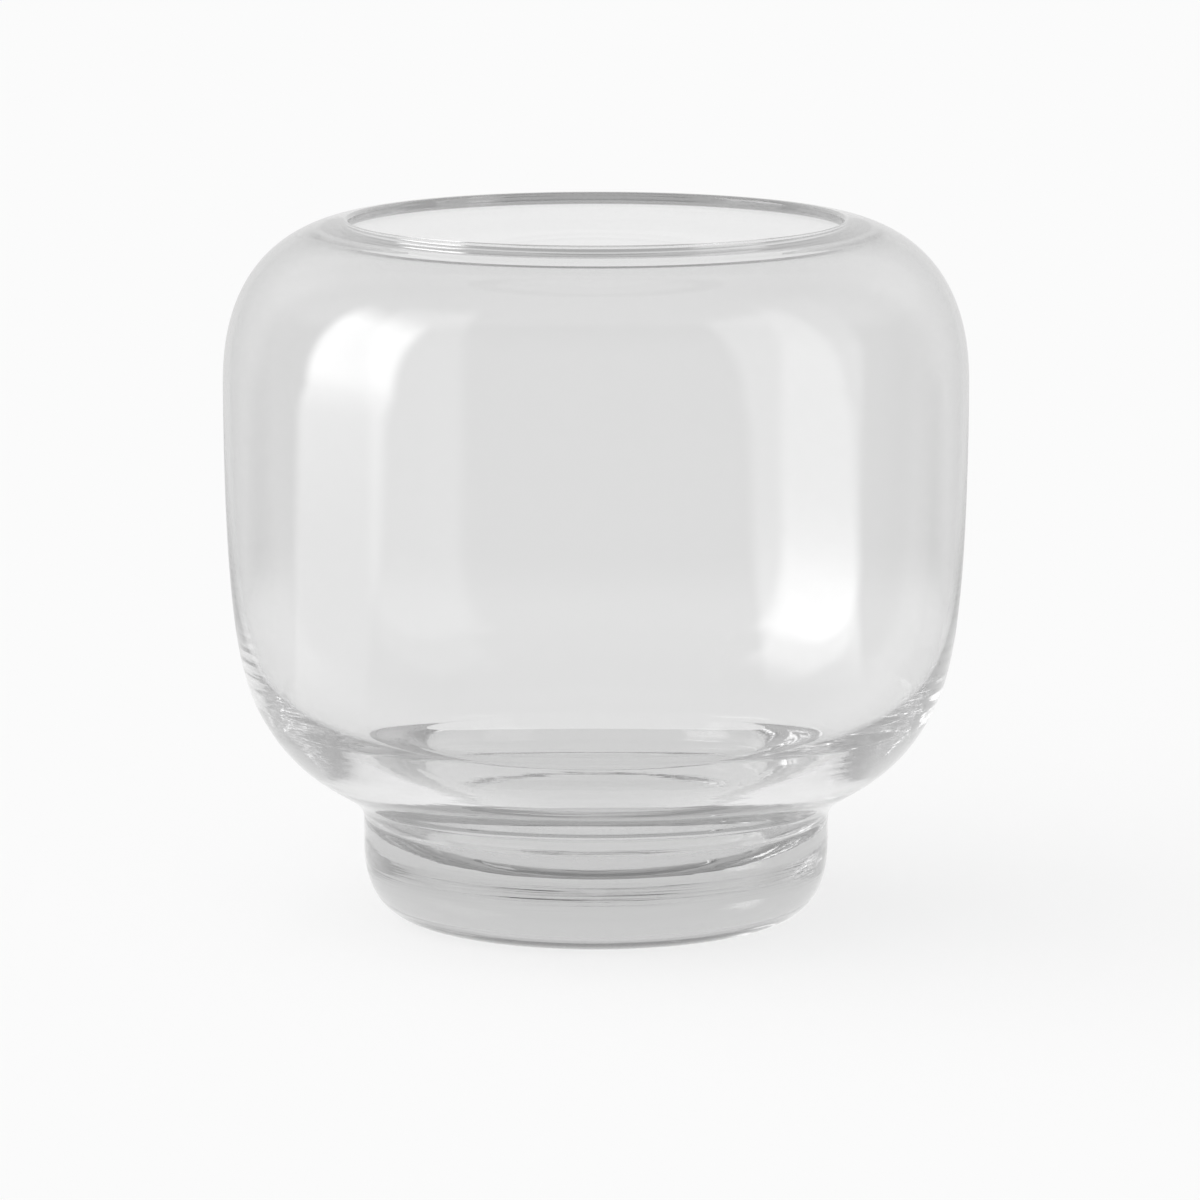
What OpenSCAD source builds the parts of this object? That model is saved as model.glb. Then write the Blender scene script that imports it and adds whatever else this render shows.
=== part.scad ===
// Footed glass vase: a round-shouldered blown bowl with an open mouth, whose
// thick floor is sunk into a heavy glass foot and fused to it. Millimetres,
// +Z up, with the origin at the centre of the underside. Both pieces are
// solids of revolution about Z.

/* [Bowl] */
// Outside diameter at the widest point
bowl_d = 200; // [190:1:210]
// Height of the whole vase
total_h = 189.5; // [184:0.5:198]
// Height of the widest point above the table
belly_h = 146; // [138:1:150]
// Inside diameter of the mouth
mouth_d = 132; // [116:1:138]

/* [Glass thickness] */
// Side wall at the widest point
side_t = 1.8; // [1.4:0.1:3]
// Wall at the knee, where the side turns under
knee_t = 5.2; // [3.6:0.1:6.4]
// Wall below the knee, where the side meets the floor
low_t = 6.3; // [5:0.1:7.5]
// Wall of the shoulder, close to the lip
shoulder_t = 3.2; // [2:0.1:3.4]
// Radius that rounds the lip, above and below its inner face
lip_r = 1.2; // [1.1:0.1:1.8]
// Height of the upright inner face of the lip
lip_face = 1; // [0.6:0.1:1.6]

/* [Floor] */
// Height of the floor inside, above the table
floor_h = 17.4; // [16:0.1:19]
// Glass of the bowl under its floor, down to its seat in the foot
floor_t = 5.5; // [4:0.5:7]
// Diameter of the level middle of the floor
floor_d = 57; // [50:1:66]
// Inside diameter of the well that the floor is at the bottom of
well_d = 96; // [94:0.5:99]
// Diameter of the ring where the well meets the bowl
ring_d = 112; // [110:0.5:115]
// Height of that ring above the table
ring_h = 37.6; // [36:0.5:40]

/* [Foot] */
// Outside diameter of the foot
foot_d = 125.6; // [122:0.2:130]
// Height of the foot, up to the crease where the bowl begins
foot_h = 28; // [26:0.5:30]
// Diameter of the flat disc that rests on the table
contact_d = 92; // [76:1:100]
// Height at which the rounded lower edge becomes the upright side
edge_h = 20; // [14:0.5:23]

/* [Hidden] */

glass = [0.86, 0.90, 0.91, 0.45];
steps = 20;             // straight pieces in each curve of an outline
lip_step = 12;          // degrees for each straight piece around the lip

bowl_r = bowl_d / 2;
mouth_r = mouth_d / 2;
foot_r = foot_d / 2;
contact_r = contact_d / 2;
floor_r = floor_d / 2;
well_r = well_d / 2;
ring_r = ring_d / 2;
seat_z = floor_h - floor_t;

// Directions along an outline are in degrees: 0 points away from the axis
// and 90 points up. A station of an outline is [point, direction, reach
// behind, reach ahead], where the reaches are the lengths of the handles.
function ahead(angle) = [cos(angle), sin(angle)];
function right_of(angle) = [sin(angle), -cos(angle)];
function direction(from, to) = atan2(to[1] - from[1], to[0] - from[0]);

// Points of the curve from station a to station b, without its first point
function curve(a, b) = [for (i = [1:steps]) let (
    t = i / steps,
    s = 1 - t,
    p = a[0] + a[3] * ahead(a[1]),
    q = b[0] - b[2] * ahead(b[1]))
    s*s*s * a[0] + 3*s*s*t * p + 3*s*t*t * q + t*t*t * b[0]];

// Points of the curve through a list of stations
function outline(stations) = concat([stations[0][0]],
    [for (i = [1:len(stations) - 1]) each curve(stations[i - 1], stations[i])]);

// Points of a clockwise bend about a centre, from one direction to another
function bend(centre, radius, from, to) =
    let (n = ceil((from - to) / lip_step))
    [for (i = [0:n]) centre - radius * right_of(from + (to - from) * i / n)];

function reversed(points) = [for (i = [len(points) - 1:-1:0]) points[i]];

// Leaves out each point that repeats the one before it
function distinct(points) = [for (i = [0:len(points) - 1])
    if (i == 0 || norm(points[i] - points[i - 1]) > 0.001) points[i]];

// Outside of the bowl: joint, knee, widest point, lip
knee_dir = 60.5;
crown_dir = 173;        // the shoulder still rises a little where the lip starts
lip_top = [mouth_r + lip_r, total_h - lip_r];
lip_bottom = lip_top - [0, lip_face];
outside = outline([
    [[foot_r, foot_h], 75, 0, 9.5],
    [[bowl_r - 10, foot_h + 27], knee_dir, 23, 10.5],
    [[bowl_r, belly_h], 90, 69, 38],
    [lip_top + lip_r * right_of(crown_dir), crown_dir, 6, 0]]);

// The wall is thinnest at the widest point and thickens both ways from it.
// Below the knee it goes on thickening at a rate that eases towards low_t.
low_i = round(0.7 * steps);
tuck_i = round(2.72 * steps);
function wall_t(i) =
    let (
        along = i / steps - 2,
        below = max(0, steps - i) / (steps - low_i),
        rate = 2 * (knee_t - side_t) * (1 - low_i / steps))
    below > 0
        ? knee_t + rate * below + (low_t - knee_t - rate) * below * below
        : side_t + along * along * ((along < 0 ? knee_t : shoulder_t) - side_t);

// Inside face of the wall, from below the knee to just short of the lip
wall = [for (i = [low_i:tuck_i])
    outside[i] - wall_t(i) * right_of(direction(outside[i - 1], outside[i + 1]))];

// Inside of the floor: a well with a soft bottom, and a ring around its top
well_rise = 10;         // height of the steepest part of the well above the floor
well = outline([
    [[floor_r, floor_h], 0, 0, 5.5],
    [[well_r, floor_h + well_rise], 82, 4.7, 3],
    [[ring_r, ring_h], 8, 4.5, 8.5],
    [wall[0], direction(wall[0], wall[1]), 5.7, 0]]);

// Seat of the bowl in the foot: it runs under the floor and up to the crease
seat = outline([
    [[floor_r, seat_z], 0, 0, 8],
    [[well_r + floor_t, foot_h], 88, 8, 0]]);

// Underside of the shoulder, level where it meets the lip
under = curve(
    [wall[len(wall) - 1], direction(wall[len(wall) - 2], wall[len(wall) - 1]), 0, 3],
    [lip_bottom - lip_r * right_of(180), 180, 4, 0]);

bowl_section = distinct(concat(
    [[0, floor_h]],
    well,
    wall,
    under,
    bend(lip_bottom, lip_r, 180, 90),
    bend(lip_top, lip_r, 90, 0),
    bend(lip_top, lip_r, 0, crown_dir - 180),
    reversed(outside),
    reversed(seat),
    [[0, seat_z]]));

foot_section = concat(
    [[0, 0]],
    outline([
        [[contact_r, 0], 0, 0, 0.57 * (foot_r - contact_r)],
        [[foot_r, edge_h], 90, 0.73 * edge_h, 0]]),
    [[foot_r, foot_h]],
    reversed(seat),
    [[0, seat_z]]);

// Blown bowl with its lip, its well and its thick floor
module bowl() {
    color(glass) rotate_extrude($fn = 180) polygon(bowl_section);
}

// Heavy foot with a soft lower edge and a seat for the floor of the bowl
module foot() {
    color(glass) rotate_extrude($fn = 180) polygon(foot_section);
}

bowl();
foot();
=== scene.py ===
import math

import bpy
import numpy as np
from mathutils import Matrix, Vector


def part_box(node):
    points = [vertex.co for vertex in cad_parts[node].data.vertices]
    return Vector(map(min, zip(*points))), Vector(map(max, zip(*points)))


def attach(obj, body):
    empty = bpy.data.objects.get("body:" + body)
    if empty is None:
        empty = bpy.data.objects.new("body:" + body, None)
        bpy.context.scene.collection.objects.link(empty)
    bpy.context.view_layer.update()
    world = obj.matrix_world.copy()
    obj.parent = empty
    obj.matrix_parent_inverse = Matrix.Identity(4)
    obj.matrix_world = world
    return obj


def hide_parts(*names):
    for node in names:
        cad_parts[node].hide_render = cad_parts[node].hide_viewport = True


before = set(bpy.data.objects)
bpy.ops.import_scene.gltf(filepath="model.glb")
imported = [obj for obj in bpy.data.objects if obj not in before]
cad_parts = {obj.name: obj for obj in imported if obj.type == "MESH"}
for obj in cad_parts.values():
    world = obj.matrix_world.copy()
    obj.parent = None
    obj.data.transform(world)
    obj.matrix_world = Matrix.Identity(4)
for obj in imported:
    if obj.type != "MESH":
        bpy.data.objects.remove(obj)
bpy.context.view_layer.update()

MM = 0.001

# Sizes read from the frame, in millimetres
bowl_low, bowl_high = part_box("bowl")
foot_low, foot_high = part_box("foot")
BOWL_R = bowl_high.x / MM
TOTAL_H = bowl_high.z / MM
FOOT_H = foot_high.z / MM
FOOT_R = foot_high.x / MM
SEAT_Z = bowl_low.z / MM

# The other sizes of part.scad, in millimetres
BELLY_H = 146.0
MOUTH_R = 66.0
SIDE_T = 1.8
KNEE_T = 5.2
LOW_T = 6.3
SHOULDER_T = 3.2
LIP_R = 1.2
LIP_FACE = 1.0
FLOOR_T = 5.5
FLOOR_R = 28.5
WELL_R = 48.0
WELL_RISE = 10.0
RING_R = 56.0
RING_H = 37.6
CONTACT_R = 46.0
EDGE_H = 20.0
KNEE_DIR = 60.5
CROWN_DIR = 173.0

STEPS = 48              # straight pieces in each curve of the two outsides
WELL_STEPS = 32         # in each curve of the floor inside
SHORT_STEPS = 24        # in each curve of the seat, and under the shoulder
AROUND = 234            # faces around each ring
SAME_POINT = 0.004      # outline points closer than this become one, in millimetres
SHARP_ANGLE = 40        # edges sharper than this aren't smoothed, in degrees
GLASS, JOINT = 0, 1     # material slots of each piece
JOINT_GAP = 0.01        # keeps the two joint faces apart, so that a ray meets both


# ---------------------------------------------------------------- outlines
#
# Directions along an outline are in degrees: 0 points away from the axis and
# 90 points up. A station of an outline is (point, direction, reach behind,
# reach ahead), where the reaches are the lengths of the handles.

def point(x, z):
    return np.array([x, z], float)


def ahead(angle):
    return point(math.cos(math.radians(angle)), math.sin(math.radians(angle)))


def right_of(angle):
    return point(math.sin(math.radians(angle)), -math.cos(math.radians(angle)))


def direction(start, end):
    return math.degrees(math.atan2(end[1] - start[1], end[0] - start[0]))


def curve(a, b, steps=STEPS):
    """Points of the curve from station a to station b, without its first point."""
    p = a[0] + a[3] * ahead(a[1])
    q = b[0] - b[2] * ahead(b[1])
    points = []
    for i in range(1, steps + 1):
        t = i / steps
        s = 1 - t
        points.append(s**3 * a[0] + 3 * s * s * t * p + 3 * s * t * t * q + t**3 * b[0])
    return points


def outline(stations, steps=STEPS):
    points = [stations[0][0]]
    for a, b in zip(stations, stations[1:]):
        points += curve(a, b, steps)
    return points


def bend(centre, radius, start, end, step=7.0):
    """Points of a clockwise bend about a centre, from one direction to another."""
    n = math.ceil(abs(start - end) / step)
    return [centre - radius * right_of(start + (end - start) * i / n) for i in range(n + 1)]


def flat(start, end, margin=1.2, inner=6):
    """Points of a straight run, with one close to each end so that shading stays flat."""
    length = np.linalg.norm(end - start)
    near = margin / length
    ts = [0, near] + [near + (1 - 2 * near) * i / inner for i in range(1, inner)] + [1 - near, 1]
    return [start + (end - start) * t for t in ts]


WALL_FROM, WALL_TO = 0.7, 2.72      # in curves along the outside of the bowl


def bowl_outline():
    lip_top = point(MOUTH_R + LIP_R, TOTAL_H - LIP_R)
    lip_bottom = lip_top - point(0, LIP_FACE)
    outside = outline([
        (point(FOOT_R, FOOT_H), 75, 0, 9.5),
        (point(BOWL_R - 10, FOOT_H + 27), KNEE_DIR, 23, 10.5),
        (point(BOWL_R, BELLY_H), 90, 69, 38),
        (lip_top + LIP_R * right_of(CROWN_DIR), CROWN_DIR, 6, 0)])

    # The inner face of the wall runs from below the knee to just short of the lip
    low_i = round(WALL_FROM * STEPS)
    tuck_i = round(WALL_TO * STEPS)
    rate = 2 * (KNEE_T - SIDE_T) * (1 - low_i / STEPS)

    def wall_t(i):
        along = i / STEPS - 2
        if along < -1:
            below = (STEPS - i) / (STEPS - low_i)
            return KNEE_T + rate * below + (LOW_T - KNEE_T - rate) * below * below
        return SIDE_T + along * along * ((KNEE_T if along < 0 else SHOULDER_T) - SIDE_T)

    wall = [outside[i] - wall_t(i) * right_of(direction(outside[i - 1], outside[i + 1]))
            for i in range(low_i, tuck_i + 1)]
    floor_h = SEAT_Z + FLOOR_T
    well = outline([
        (point(FLOOR_R, floor_h), 0, 0, 5.5),
        (point(WELL_R, floor_h + WELL_RISE), 82, 4.7, 3),
        (point(RING_R, RING_H), 8, 4.5, 8.5),
        (wall[0], direction(wall[0], wall[1]), 5.7, 0)], WELL_STEPS)
    under = curve(
        (wall[-1], direction(wall[-2], wall[-1]), 0, 3),
        (lip_bottom - LIP_R * right_of(180), 180, 4, 0), SHORT_STEPS)
    inside = (flat(point(0, floor_h), point(FLOOR_R, floor_h)) + well + wall + under
              + bend(lip_bottom, LIP_R, 180, 90) + bend(lip_top, LIP_R, 90, 0)
              + bend(lip_top, LIP_R, 0, CROWN_DIR - 180))
    return [(seat(JOINT_GAP), JOINT), (outside[1:] + inside[::-1], GLASS)]


def seat(shift):
    """Where the bowl and the foot meet, moved a little into one of them."""
    rim = point(WELL_R + FLOOR_T, FOOT_H)
    points = [point(0, SEAT_Z)] + outline([
        (point(FLOOR_R, SEAT_Z), 0, 0, 8),
        (rim, 88, 8, 0)], SHORT_STEPS) + [point(FOOT_R, FOOT_H)]
    return [point(min(max(p[0] - shift, 0), FOOT_R) if p[0] else 0, p[1] + shift)
            for p in points]


def foot_outline():
    under = flat(point(0, 0), point(CONTACT_R, 0))
    side = outline([
        (point(CONTACT_R, 0), 0, 0, 0.57 * (FOOT_R - CONTACT_R)),
        (point(FOOT_R, EDGE_H), 90, 0.73 * EDGE_H, 0)])
    upright = flat(point(FOOT_R, EDGE_H), point(FOOT_R, FOOT_H - JOINT_GAP),
                   margin=0.4, inner=3)
    return [(under + side + upright, GLASS), (seat(-JOINT_GAP)[::-1], JOINT)]


def lathe(name, runs):
    """Closed solid of revolution. The first and last points are on the axis."""
    rings = [runs[0][0][0]]
    slots = []
    for points, slot in runs:
        for p in points:
            if np.linalg.norm(p - rings[-1]) > SAME_POINT:
                rings.append(p)
                slots.append(slot)
    rings = np.array(rings) * MM
    body = rings[1:-1]      # all but the two points on the axis
    angles = np.arange(AROUND) * 2 * math.pi / AROUND
    x = body[:, :1] * np.cos(angles)
    y = body[:, :1] * np.sin(angles)
    z = np.repeat(body[:, 1:], AROUND, 1)
    verts = np.stack([x, y, z], 2).reshape(-1, 3)
    count = len(verts)
    verts = np.vstack([verts, [0, 0, rings[0, 1]], [0, 0, rings[-1, 1]]])
    following = [(j + 1) % AROUND for j in range(AROUND)]
    faces = [(count, following[j], j) for j in range(AROUND)]
    for i in range(len(body) - 1):
        row, above = i * AROUND, (i + 1) * AROUND
        faces += [(row + j, row + following[j], above + following[j], above + j)
                  for j in range(AROUND)]
    last = (len(body) - 1) * AROUND
    faces += [(count + 1, last + j, last + following[j]) for j in range(AROUND)]
    mesh = bpy.data.meshes.new(name)
    mesh.from_pydata(verts.tolist(), [], faces)
    mesh.polygons.foreach_set("material_index", np.repeat(slots, AROUND))
    mesh.polygons.foreach_set("use_smooth", np.ones(len(faces), bool))
    mesh.update()
    mesh.set_sharp_from_angle(angle=math.radians(SHARP_ANGLE))
    obj = bpy.data.objects.new(name, mesh)
    bpy.context.scene.collection.objects.link(obj)
    return obj


# ---------------------------------------------------------------- nodes

class Graph:
    """Builds a node tree: an input is either a value or another node's socket."""

    def __init__(self, tree):
        self.tree = tree
        tree.nodes.clear()

    def add(self, kind, inputs=None, **settings):
        node = self.tree.nodes.new(kind)
        for key, value in settings.items():
            setattr(node, key, value)
        for key, value in (inputs or {}).items():
            socket = node.inputs[key]
            if isinstance(value, bpy.types.NodeSocket):
                self.tree.links.new(value, socket)
            else:
                socket.default_value = value
        return node

    def math(self, operation, a, b=0.0):
        return self.add("ShaderNodeMath", {0: a, 1: b}, operation=operation).outputs[0]

    def multiply(self, a, *others):
        for b in others:
            a = self.math("MULTIPLY", a, b)
        return a

    def length(self, x, y):
        return self.math("SQRT", self.math("ADD", self.multiply(x, x), self.multiply(y, y)))

    def mix(self, share, a, b):
        return self.add("ShaderNodeMix", {0: share, 2: a, 3: b}, data_type="FLOAT").outputs[0]

    def noise(self, coords, scale, detail, roughness=0.5, stretch=None):
        if stretch:
            coords = self.add("ShaderNodeMapping", {
                "Vector": coords, "Scale": (1.0, 1.0, stretch)}).outputs[0]
        return self.add("ShaderNodeTexNoise", {
            "Vector": coords, "Scale": scale, "Detail": detail,
            "Roughness": roughness}).outputs[0]

    def ramp(self, value, low, high, at_low=0.0, at_high=1.0):
        return self.add("ShaderNodeMapRange",
                        {0: value, 1: low, 2: high, 3: at_low, 4: at_high},
                        interpolation_type="SMOOTHSTEP").outputs[0]


LINES_FADE = 0.03, 0.07         # heights between which the tooling lines fade out
WORN_FROM = 0.042, 0.044        # radii between which the worn ring begins
WORN_TO = 0.0001, 0.0003        # heights between which it ends


def glass_material(name, tint, ripple, tooling, wear=0.0):
    """Clear glass with a slow ripple all over, fine level tooling lines near
    the foot and, where wear isn't 0, a worn ring where it stands on a table.
    The ripple and the tooling are depths. Like the heights and radii above,
    they are in metres."""
    mat = bpy.data.materials.new(name)
    mat.use_nodes = True
    g = Graph(mat.node_tree)
    coords = g.add("ShaderNodeTexCoord").outputs["Object"]
    x, y, z = g.add("ShaderNodeSeparateXYZ", {0: coords}).outputs

    wave = g.noise(coords, scale=6.0, detail=1.0, roughness=0.4, stretch=2.2)
    lines = g.noise(coords, scale=9.0, detail=3.0, roughness=0.6, stretch=50.0)
    relief = g.math("ADD", g.multiply(wave, ripple),
                    g.multiply(lines, g.ramp(z, *LINES_FADE, tooling, 0.0)))
    bump = g.add("ShaderNodeBump", {"Strength": 1.0, "Distance": 1.0, "Height": relief})

    shader = g.add("ShaderNodeBsdfPrincipled", {
        "Base Color": tint, "Roughness": 0.0, "IOR": 1.5, "Transmission Weight": 1.0,
        "Normal": bump.outputs[0]})
    if wear:
        ring = g.multiply(g.ramp(g.length(x, y), *WORN_FROM), g.ramp(z, *WORN_TO, 1.0, 0.0))
        scuffs = g.noise(coords, scale=400.0, detail=4.0)
        worn = g.multiply(ring, g.ramp(scuffs, 0.4, 0.65, 0.0, wear))
        g.tree.links.new(worn, shader.inputs["Roughness"])
    g.add("ShaderNodeOutputMaterial", {0: shader.outputs[0]})
    return mat


def clear_material(name):
    """Nothing to see: the glass of one piece goes on into the other."""
    mat = bpy.data.materials.new(name)
    mat.use_nodes = True
    g = Graph(mat.node_tree)
    shader = g.add("ShaderNodeBsdfPrincipled", {"Base Color": (1, 1, 1, 1), "Alpha": 0.0})
    g.add("ShaderNodeOutputMaterial", {0: shader.outputs[0]})
    return mat


# ---------------------------------------------------------------- pieces

BOWL_TINT = (0.898, 0.898, 0.898, 1)
FOOT_TINT = (0.60, 0.60, 0.60, 1)     # darker for its depth of glass

bowl_glass = glass_material("bowl_glass_clear", BOWL_TINT, ripple=0.000002, tooling=0.00004)
foot_glass = glass_material("foot_glass_clear", FOOT_TINT, ripple=0.000004, tooling=0.00003,
                            wear=0.35)
fused = clear_material("joint_fused")

bowl = lathe("bowl_blown", bowl_outline())
foot = lathe("foot_heavy", foot_outline())
for piece, node, skin in ((bowl, "bowl", bowl_glass), (foot, "foot", foot_glass)):
    piece.data.materials.append(skin)
    piece.data.materials.append(fused)
    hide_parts(node)
    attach(piece, "root")


# ---------------------------------------------------------------- stage

# Tones are linear, and 1 is the white of the picture
WHITE = 0.965           # the background behind the vase
BACKDROP = 0.8          # the studio's backdrop, as the vase reflects it
BACKDROP_TOP = 0.25     # what the top of the backdrop adds to the ceiling behind it
DARK = 0.45             # the unlit parts of the studio
CEILING = 0.12
AVERAGE = 0.37          # the studio as a whole
BLUR = 0.6              # how far a second reflection blurs the studio into its average

# With these the open floor comes out as about WHITE too
FLOOR_TONE = 0.9
FLOOR_GLOW = 0.83       # part of the floor's light that casts no shadow
DOME = 0.315
KEY = 2.0
KEY_WAY = Vector((-0.60, -0.22, 0.77)).normalized()
KEY_FROM = 0.4          # cosine of the angle from KEY_WAY at which the key begins

# In metres
FLOOR_HALF = 12.0       # half the width of the floor
FLOOR_DROP = 0.0004     # keeps the floor clear of the underside
VASE_MIDDLE = 0.1       # height of the middle of the vase
NEAR_FLOOR = 0.38, 0.7  # distances between which the white of the floor fades into the studio


def degrees(*angles):
    return [math.radians(a) for a in angles]


def window(g, angle, low, high, soft):
    """1 between two angles and 0 outside them, with soft sides."""
    opens = g.ramp(angle, *degrees(low - soft, low + soft))
    closes = g.ramp(angle, *degrees(high - soft, high + soft))
    return g.math("SUBTRACT", opens, closes)


def studio(g, way):
    """Brightness of the studio as the vase reflects it: a white backdrop and
    two tall softboxes. Angles are in degrees, left of the backdrop and up."""
    x, y, z = g.add("ShaderNodeSeparateXYZ", {0: way}).outputs
    left = g.math("ARCTAN2", g.multiply(x, -1.0), y)
    up = g.math("ARCTAN2", z, g.length(x, y))

    backdrop = g.multiply(window(g, left, -53, 53, 8),
                          g.ramp(up, *degrees(22, 50), BACKDROP - DARK, BACKDROP_TOP))
    room = g.ramp(up, *degrees(25, 60), DARK, CEILING)
    # Brightest above level
    left_box = g.multiply(window(g, left, 80, 115, 3), g.ramp(up, *degrees(-10, 8), 0.8, 3.2),
                          window(g, up, -30, 38, 8))
    # Brightest low down
    right_box = g.multiply(window(g, left, -134, -98, 3),
                           g.math("ADD", window(g, up, -19, -11, 4), 0.8),
                           window(g, up, -24, 50, 5))
    tone = g.math("ADD", backdrop, room)
    return g.math("ADD", g.math("ADD", tone, left_box), right_box)


def beyond(g, path, depth, count):
    """1 for a ray that has bounced more than count times, and 0 for any other."""
    return g.math("GREATER_THAN", path.outputs[depth], count + 0.5)


def white_or_studio(g, path, mirrored):
    """WHITE for straight and refracted rays and the mirrored tone for reflected
    ones, blurred towards AVERAGE after the first reflection."""
    tone = g.mix(beyond(g, path, "Glossy Depth", 0), WHITE, mirrored)
    return g.mix(g.multiply(beyond(g, path, "Glossy Depth", 1), BLUR), tone, AVERAGE)


# The floor is lit by a soft dome, which is brighter towards the upper left
world = bpy.data.worlds.new("studio")
bpy.context.scene.world = world
world.use_nodes = True
world.cycles.sampling_method = "NONE"
g = Graph(world.node_tree)
way = g.add("ShaderNodeTexCoord").outputs["Generated"]
towards = g.add("ShaderNodeVectorMath", {0: way, 1: KEY_WAY},
                operation="DOT_PRODUCT").outputs["Value"]
dome = g.ramp(towards, KEY_FROM, 1.0, DOME, DOME + KEY)
path = g.add("ShaderNodeLightPath")
tone = g.mix(beyond(g, path, "Diffuse Depth", 0), white_or_studio(g, path, studio(g, way)), dome)
light = g.add("ShaderNodeBackground", {"Color": (1, 1, 1, 1), "Strength": tone})
g.add("ShaderNodeOutputWorld", {0: light.outputs[0]})

floor_mesh = bpy.data.meshes.new("floor")
floor_mesh.from_pydata([(FLOOR_HALF * x, FLOOR_HALF * y, 0)
                        for x, y in ((-1, -1), (1, -1), (1, 1), (-1, 1))], [], [(0, 1, 2, 3)])
floor = bpy.data.objects.new("floor", floor_mesh)
floor.location.z = -FLOOR_DROP
bpy.context.scene.collection.objects.link(floor)
floor_mat = bpy.data.materials.new("pale_floor")
floor_mat.use_nodes = True
g = Graph(floor_mat.node_tree)
place = g.add("ShaderNodeNewGeometry").outputs["Position"]
way = g.add("ShaderNodeVectorMath", {0: place, 1: (0, 0, VASE_MIDDLE)},
            operation="SUBTRACT").outputs[0]
distance = g.add("ShaderNodeVectorMath", {0: place}, operation="LENGTH").outputs["Value"]
mirrored = g.math("MAXIMUM", studio(g, way), g.ramp(distance, *NEAR_FLOOR, WHITE, 0.0))
path = g.add("ShaderNodeLightPath")
matte = g.add("ShaderNodeBsdfDiffuse", {"Color": (FLOOR_TONE, FLOOR_TONE, FLOOR_TONE, 1)})
glow = g.add("ShaderNodeEmission", {"Strength": white_or_studio(g, path, mirrored)})
from_vase = g.math("MAXIMUM", beyond(g, path, "Glossy Depth", 0),
                   beyond(g, path, "Transmission Depth", 0))
share = g.math("MAXIMUM", from_vase, FLOOR_GLOW)
mix = g.add("ShaderNodeMixShader", {0: share, 1: matte.outputs[0], 2: glow.outputs[0]})
g.add("ShaderNodeOutputMaterial", {0: mix.outputs[0]})
floor_mesh.materials.append(floor_mat)

# ---------------------------------------------------------------- camera

LENS = 216.5                # millimetres, for a frame 36 wide
CAMERA_DOWN = 9.17          # degrees below level that it looks
CAMERA_AT = 0.00107, -1.92075, 0.39607
BOUNCES = 200               # for light that is guided a long way inside the wall

cam = bpy.data.cameras.new("camera")
cam.sensor_width = 36.0
cam.lens = LENS
cam_obj = bpy.data.objects.new("camera", cam)
bpy.context.scene.collection.objects.link(cam_obj)
cam_obj.location = CAMERA_AT
cam_obj.rotation_euler = (math.radians(90 - CAMERA_DOWN), 0, 0)
bpy.context.scene.camera = cam_obj

scene = bpy.context.scene
scene.view_settings.view_transform = "Standard"
scene.view_settings.look = "None"
scene.cycles.max_bounces = BOUNCES
scene.cycles.transmission_bounces = BOUNCES
scene.cycles.glossy_bounces = BOUNCES
scene.cycles.diffuse_bounces = 3
scene.cycles.transparent_max_bounces = 32
scene.cycles.use_denoising = True
